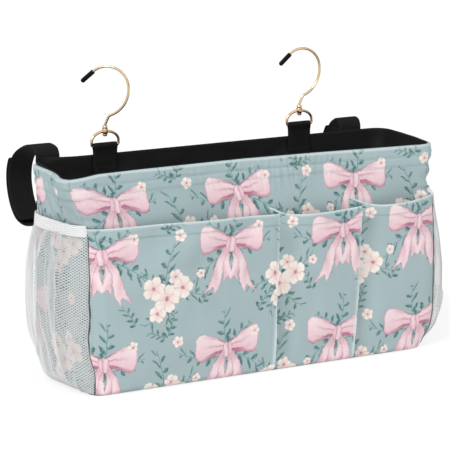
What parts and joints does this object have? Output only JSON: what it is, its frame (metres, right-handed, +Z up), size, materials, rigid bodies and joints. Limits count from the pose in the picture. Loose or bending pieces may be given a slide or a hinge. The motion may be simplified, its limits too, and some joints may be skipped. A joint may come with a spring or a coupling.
{
  "type": "bedside caddy",
  "caption": "Soft open-topped fabric caddy with sewn front pockets, net end pockets, swivelling wire hooks on rings and touch-fastened straps behind.",
  "frame": {"origin": "centre of the flat base, on the surface that the caddy stands on", "axes": "+X along the caddy from the left end to the right end as seen from the front, +Y from the front to the back, +Z up"},
  "size_m": [0.4152, 0.1829, 0.2882],
  "materials": {
    "print_cloth": "plain-woven print in dusty teal with bows, blossoms and leaf sprigs",
    "black_lining": "plain-woven black lining",
    "black_webbing": "ribbed black webbing",
    "touch_tape": "black hook-and-loop tape",
    "white_net": "fine white diamond net",
    "white_elastic": "white ribbed elastic",
    "stiffener_board": "plain grey board",
    "gold_wire": "bright pale gold plating",
    "black_rubber": "matt black sleeve"
  },
  "bodies": {
    "bag": {"front_panel": "print_cloth", "back_panel": "print_cloth", "left_end_panel": "print_cloth", "right_end_panel": "print_cloth", "base_panel": "print_cloth", "front_pocket_left": "print_cloth", "front_pocket_middle": "print_cloth", "front_pocket_right": "print_cloth", "base_board": "stiffener_board", "back_board": "stiffener_board", "rim_elastic": "white_elastic", "lining_walls": "black_lining", "lining_base": "black_lining", "left_mesh_pocket": "white_net", "left_mesh_band": "white_elastic", "right_mesh_pocket": "white_net", "right_mesh_band": "white_elastic", "left_hook_tab": "black_webbing", "right_hook_tab": "black_webbing", "left_strap_upper": "black_webbing", "right_strap_upper": "black_webbing", "left_loop_tape": "touch_tape", "right_loop_tape": "touch_tape"},
    "ring_left": {"left_ring": "gold_wire"},
    "ring_right": {"right_ring": "gold_wire"},
    "hook_left": {"left_hook": "gold_wire", "left_swivel_collar": "gold_wire", "left_swivel_rivet": "gold_wire", "left_hook_tip": "black_rubber"},
    "hook_right": {"right_hook": "gold_wire", "right_swivel_collar": "gold_wire", "right_swivel_rivet": "gold_wire", "right_hook_tip": "black_rubber"},
    "strap_left": {"left_strap_lower": "black_webbing", "left_hook_tape": "touch_tape"},
    "strap_right": {"right_strap_lower": "black_webbing", "right_hook_tape": "touch_tape"}
  },
  "joints": [
    {"name": "left_ring_tilt", "type": "hinge", "parent": "bag", "child": "ring_left", "pos_m": [-0.111, 0.04885, 0.2102], "axis": [1, 0, 0], "range_deg": [-110, 110]},
    {"name": "right_ring_tilt", "type": "hinge", "parent": "bag", "child": "ring_right", "pos_m": [0.107, 0.04885, 0.2132], "axis": [1, 0, 0], "range_deg": [-110, 110]},
    {"name": "left_hook_swivel", "type": "hinge", "parent": "ring_left", "child": "hook_left", "pos_m": [-0.111, 0.04885, 0.2234], "axis": [0, 0, 1], "continuous": true},
    {"name": "right_hook_swivel", "type": "hinge", "parent": "ring_right", "child": "hook_right", "pos_m": [0.107, 0.04885, 0.2264], "axis": [0, 0, 1], "continuous": true},
    {"name": "left_strap_open", "type": "hinge", "parent": "bag", "child": "strap_left", "pos_m": [-0.168, 0.05605, 0.1429], "axis": [-1, 0, 0], "range_deg": [0, 60]},
    {"name": "right_strap_open", "type": "hinge", "parent": "bag", "child": "strap_right", "pos_m": [0.173, 0.05605, 0.1429], "axis": [-1, 0, 0], "range_deg": [0, 60]}
  ]
}
